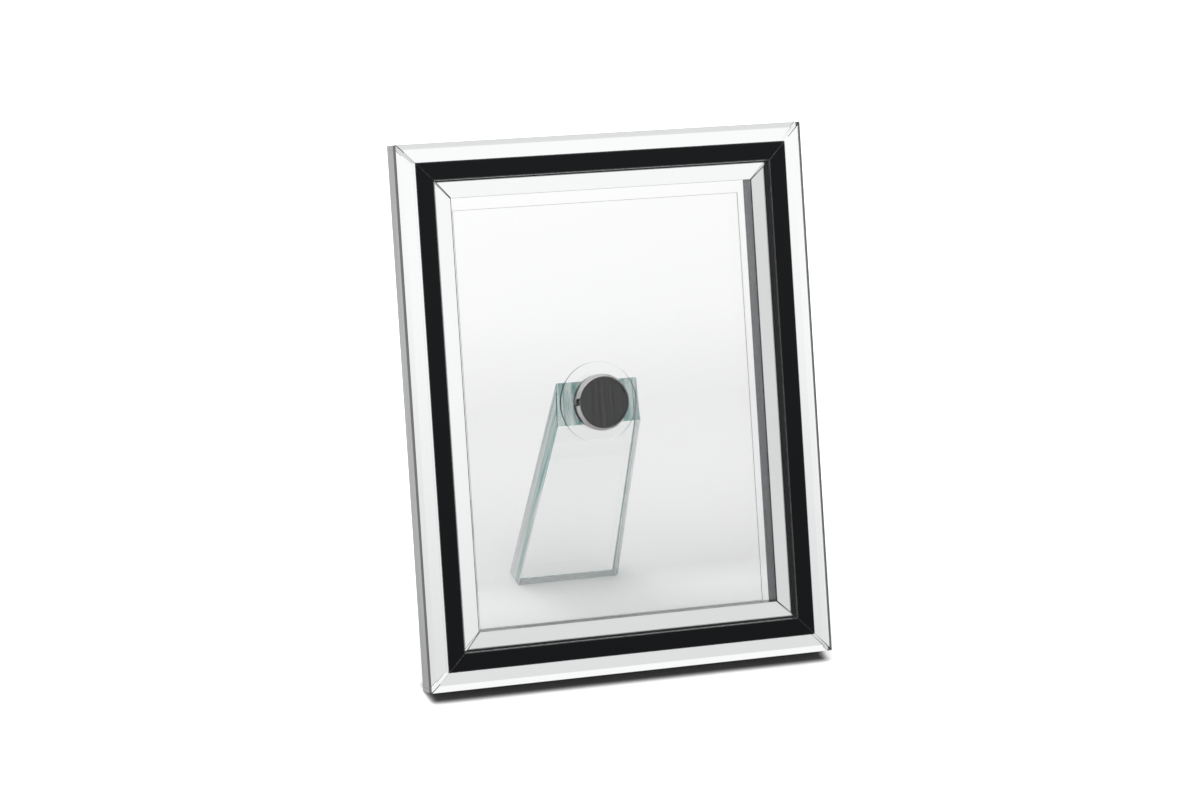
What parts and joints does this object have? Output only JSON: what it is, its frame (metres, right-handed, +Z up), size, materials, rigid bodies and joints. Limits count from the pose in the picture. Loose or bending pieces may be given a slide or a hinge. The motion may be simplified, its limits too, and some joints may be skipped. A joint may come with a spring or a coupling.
{
  "type": "picture frame",
  "caption": "Freestanding upright picture frame with mirror and black glass bands, a clear back panel, and a thick glass leg that turns on a round magnetic hub.",
  "frame": {"origin": "centre of the bounding box, on the table that the frame stands on", "axes": "+Z up; -Y towards the viewer, the way the picture faces before it leans back; +X to the viewer's right along the frame's width"},
  "size_m": [0.203, 0.1268, 0.2321],
  "materials": {
    "mirror_strip": "polished",
    "mirror_trim": "polished",
    "black_glass": "polished",
    "stained_wood": "matte",
    "clear_glass": "polished",
    "clear_sheet": "polished",
    "clear_plastic": "polished",
    "chrome": "polished",
    "dark_steel": "brushed",
    "magnet": "satin",
    "green_glass": "polished"
  },
  "bodies": {
    "frame": {"outer_mirror_top": "mirror_strip", "black_strip_top": "black_glass", "inner_mirror_top": "mirror_strip", "rail_top": "stained_wood", "side_trim_top": "mirror_trim", "well_trim_top": "mirror_trim", "outer_mirror_bottom": "mirror_strip", "black_strip_bottom": "black_glass", "inner_mirror_bottom": "mirror_strip", "rail_bottom": "stained_wood", "side_trim_bottom": "mirror_trim", "well_trim_bottom": "mirror_trim", "outer_mirror_left": "mirror_strip", "black_strip_left": "black_glass", "inner_mirror_left": "mirror_strip", "rail_left": "stained_wood", "side_trim_left": "mirror_trim", "well_trim_left": "mirror_trim", "outer_mirror_right": "mirror_strip", "black_strip_right": "black_glass", "inner_mirror_right": "mirror_strip", "rail_right": "stained_wood", "side_trim_right": "mirror_trim", "well_trim_right": "mirror_trim", "back_panel": "clear_glass", "hub_pad": "clear_plastic", "magnet_cup": "chrome", "hub_face": "dark_steel", "magnet": "magnet"},
    "cover": {"picture_cover": "clear_sheet"},
    "stand": {"keeper_disc": "chrome", "turn_plate": "clear_plastic", "leg": "green_glass"}
  },
  "joints": [
    {"name": "leg_turn", "type": "hinge", "parent": "frame", "child": "stand", "pos_m": [0, 0.01531, 0.10821], "axis": [0, 0.891, -0.454], "continuous": true},
    {"name": "cover_lift", "type": "slide", "parent": "frame", "child": "cover", "axis": [0, -0.891, 0.454], "range_m": [0, 0.0135]}
  ]
}
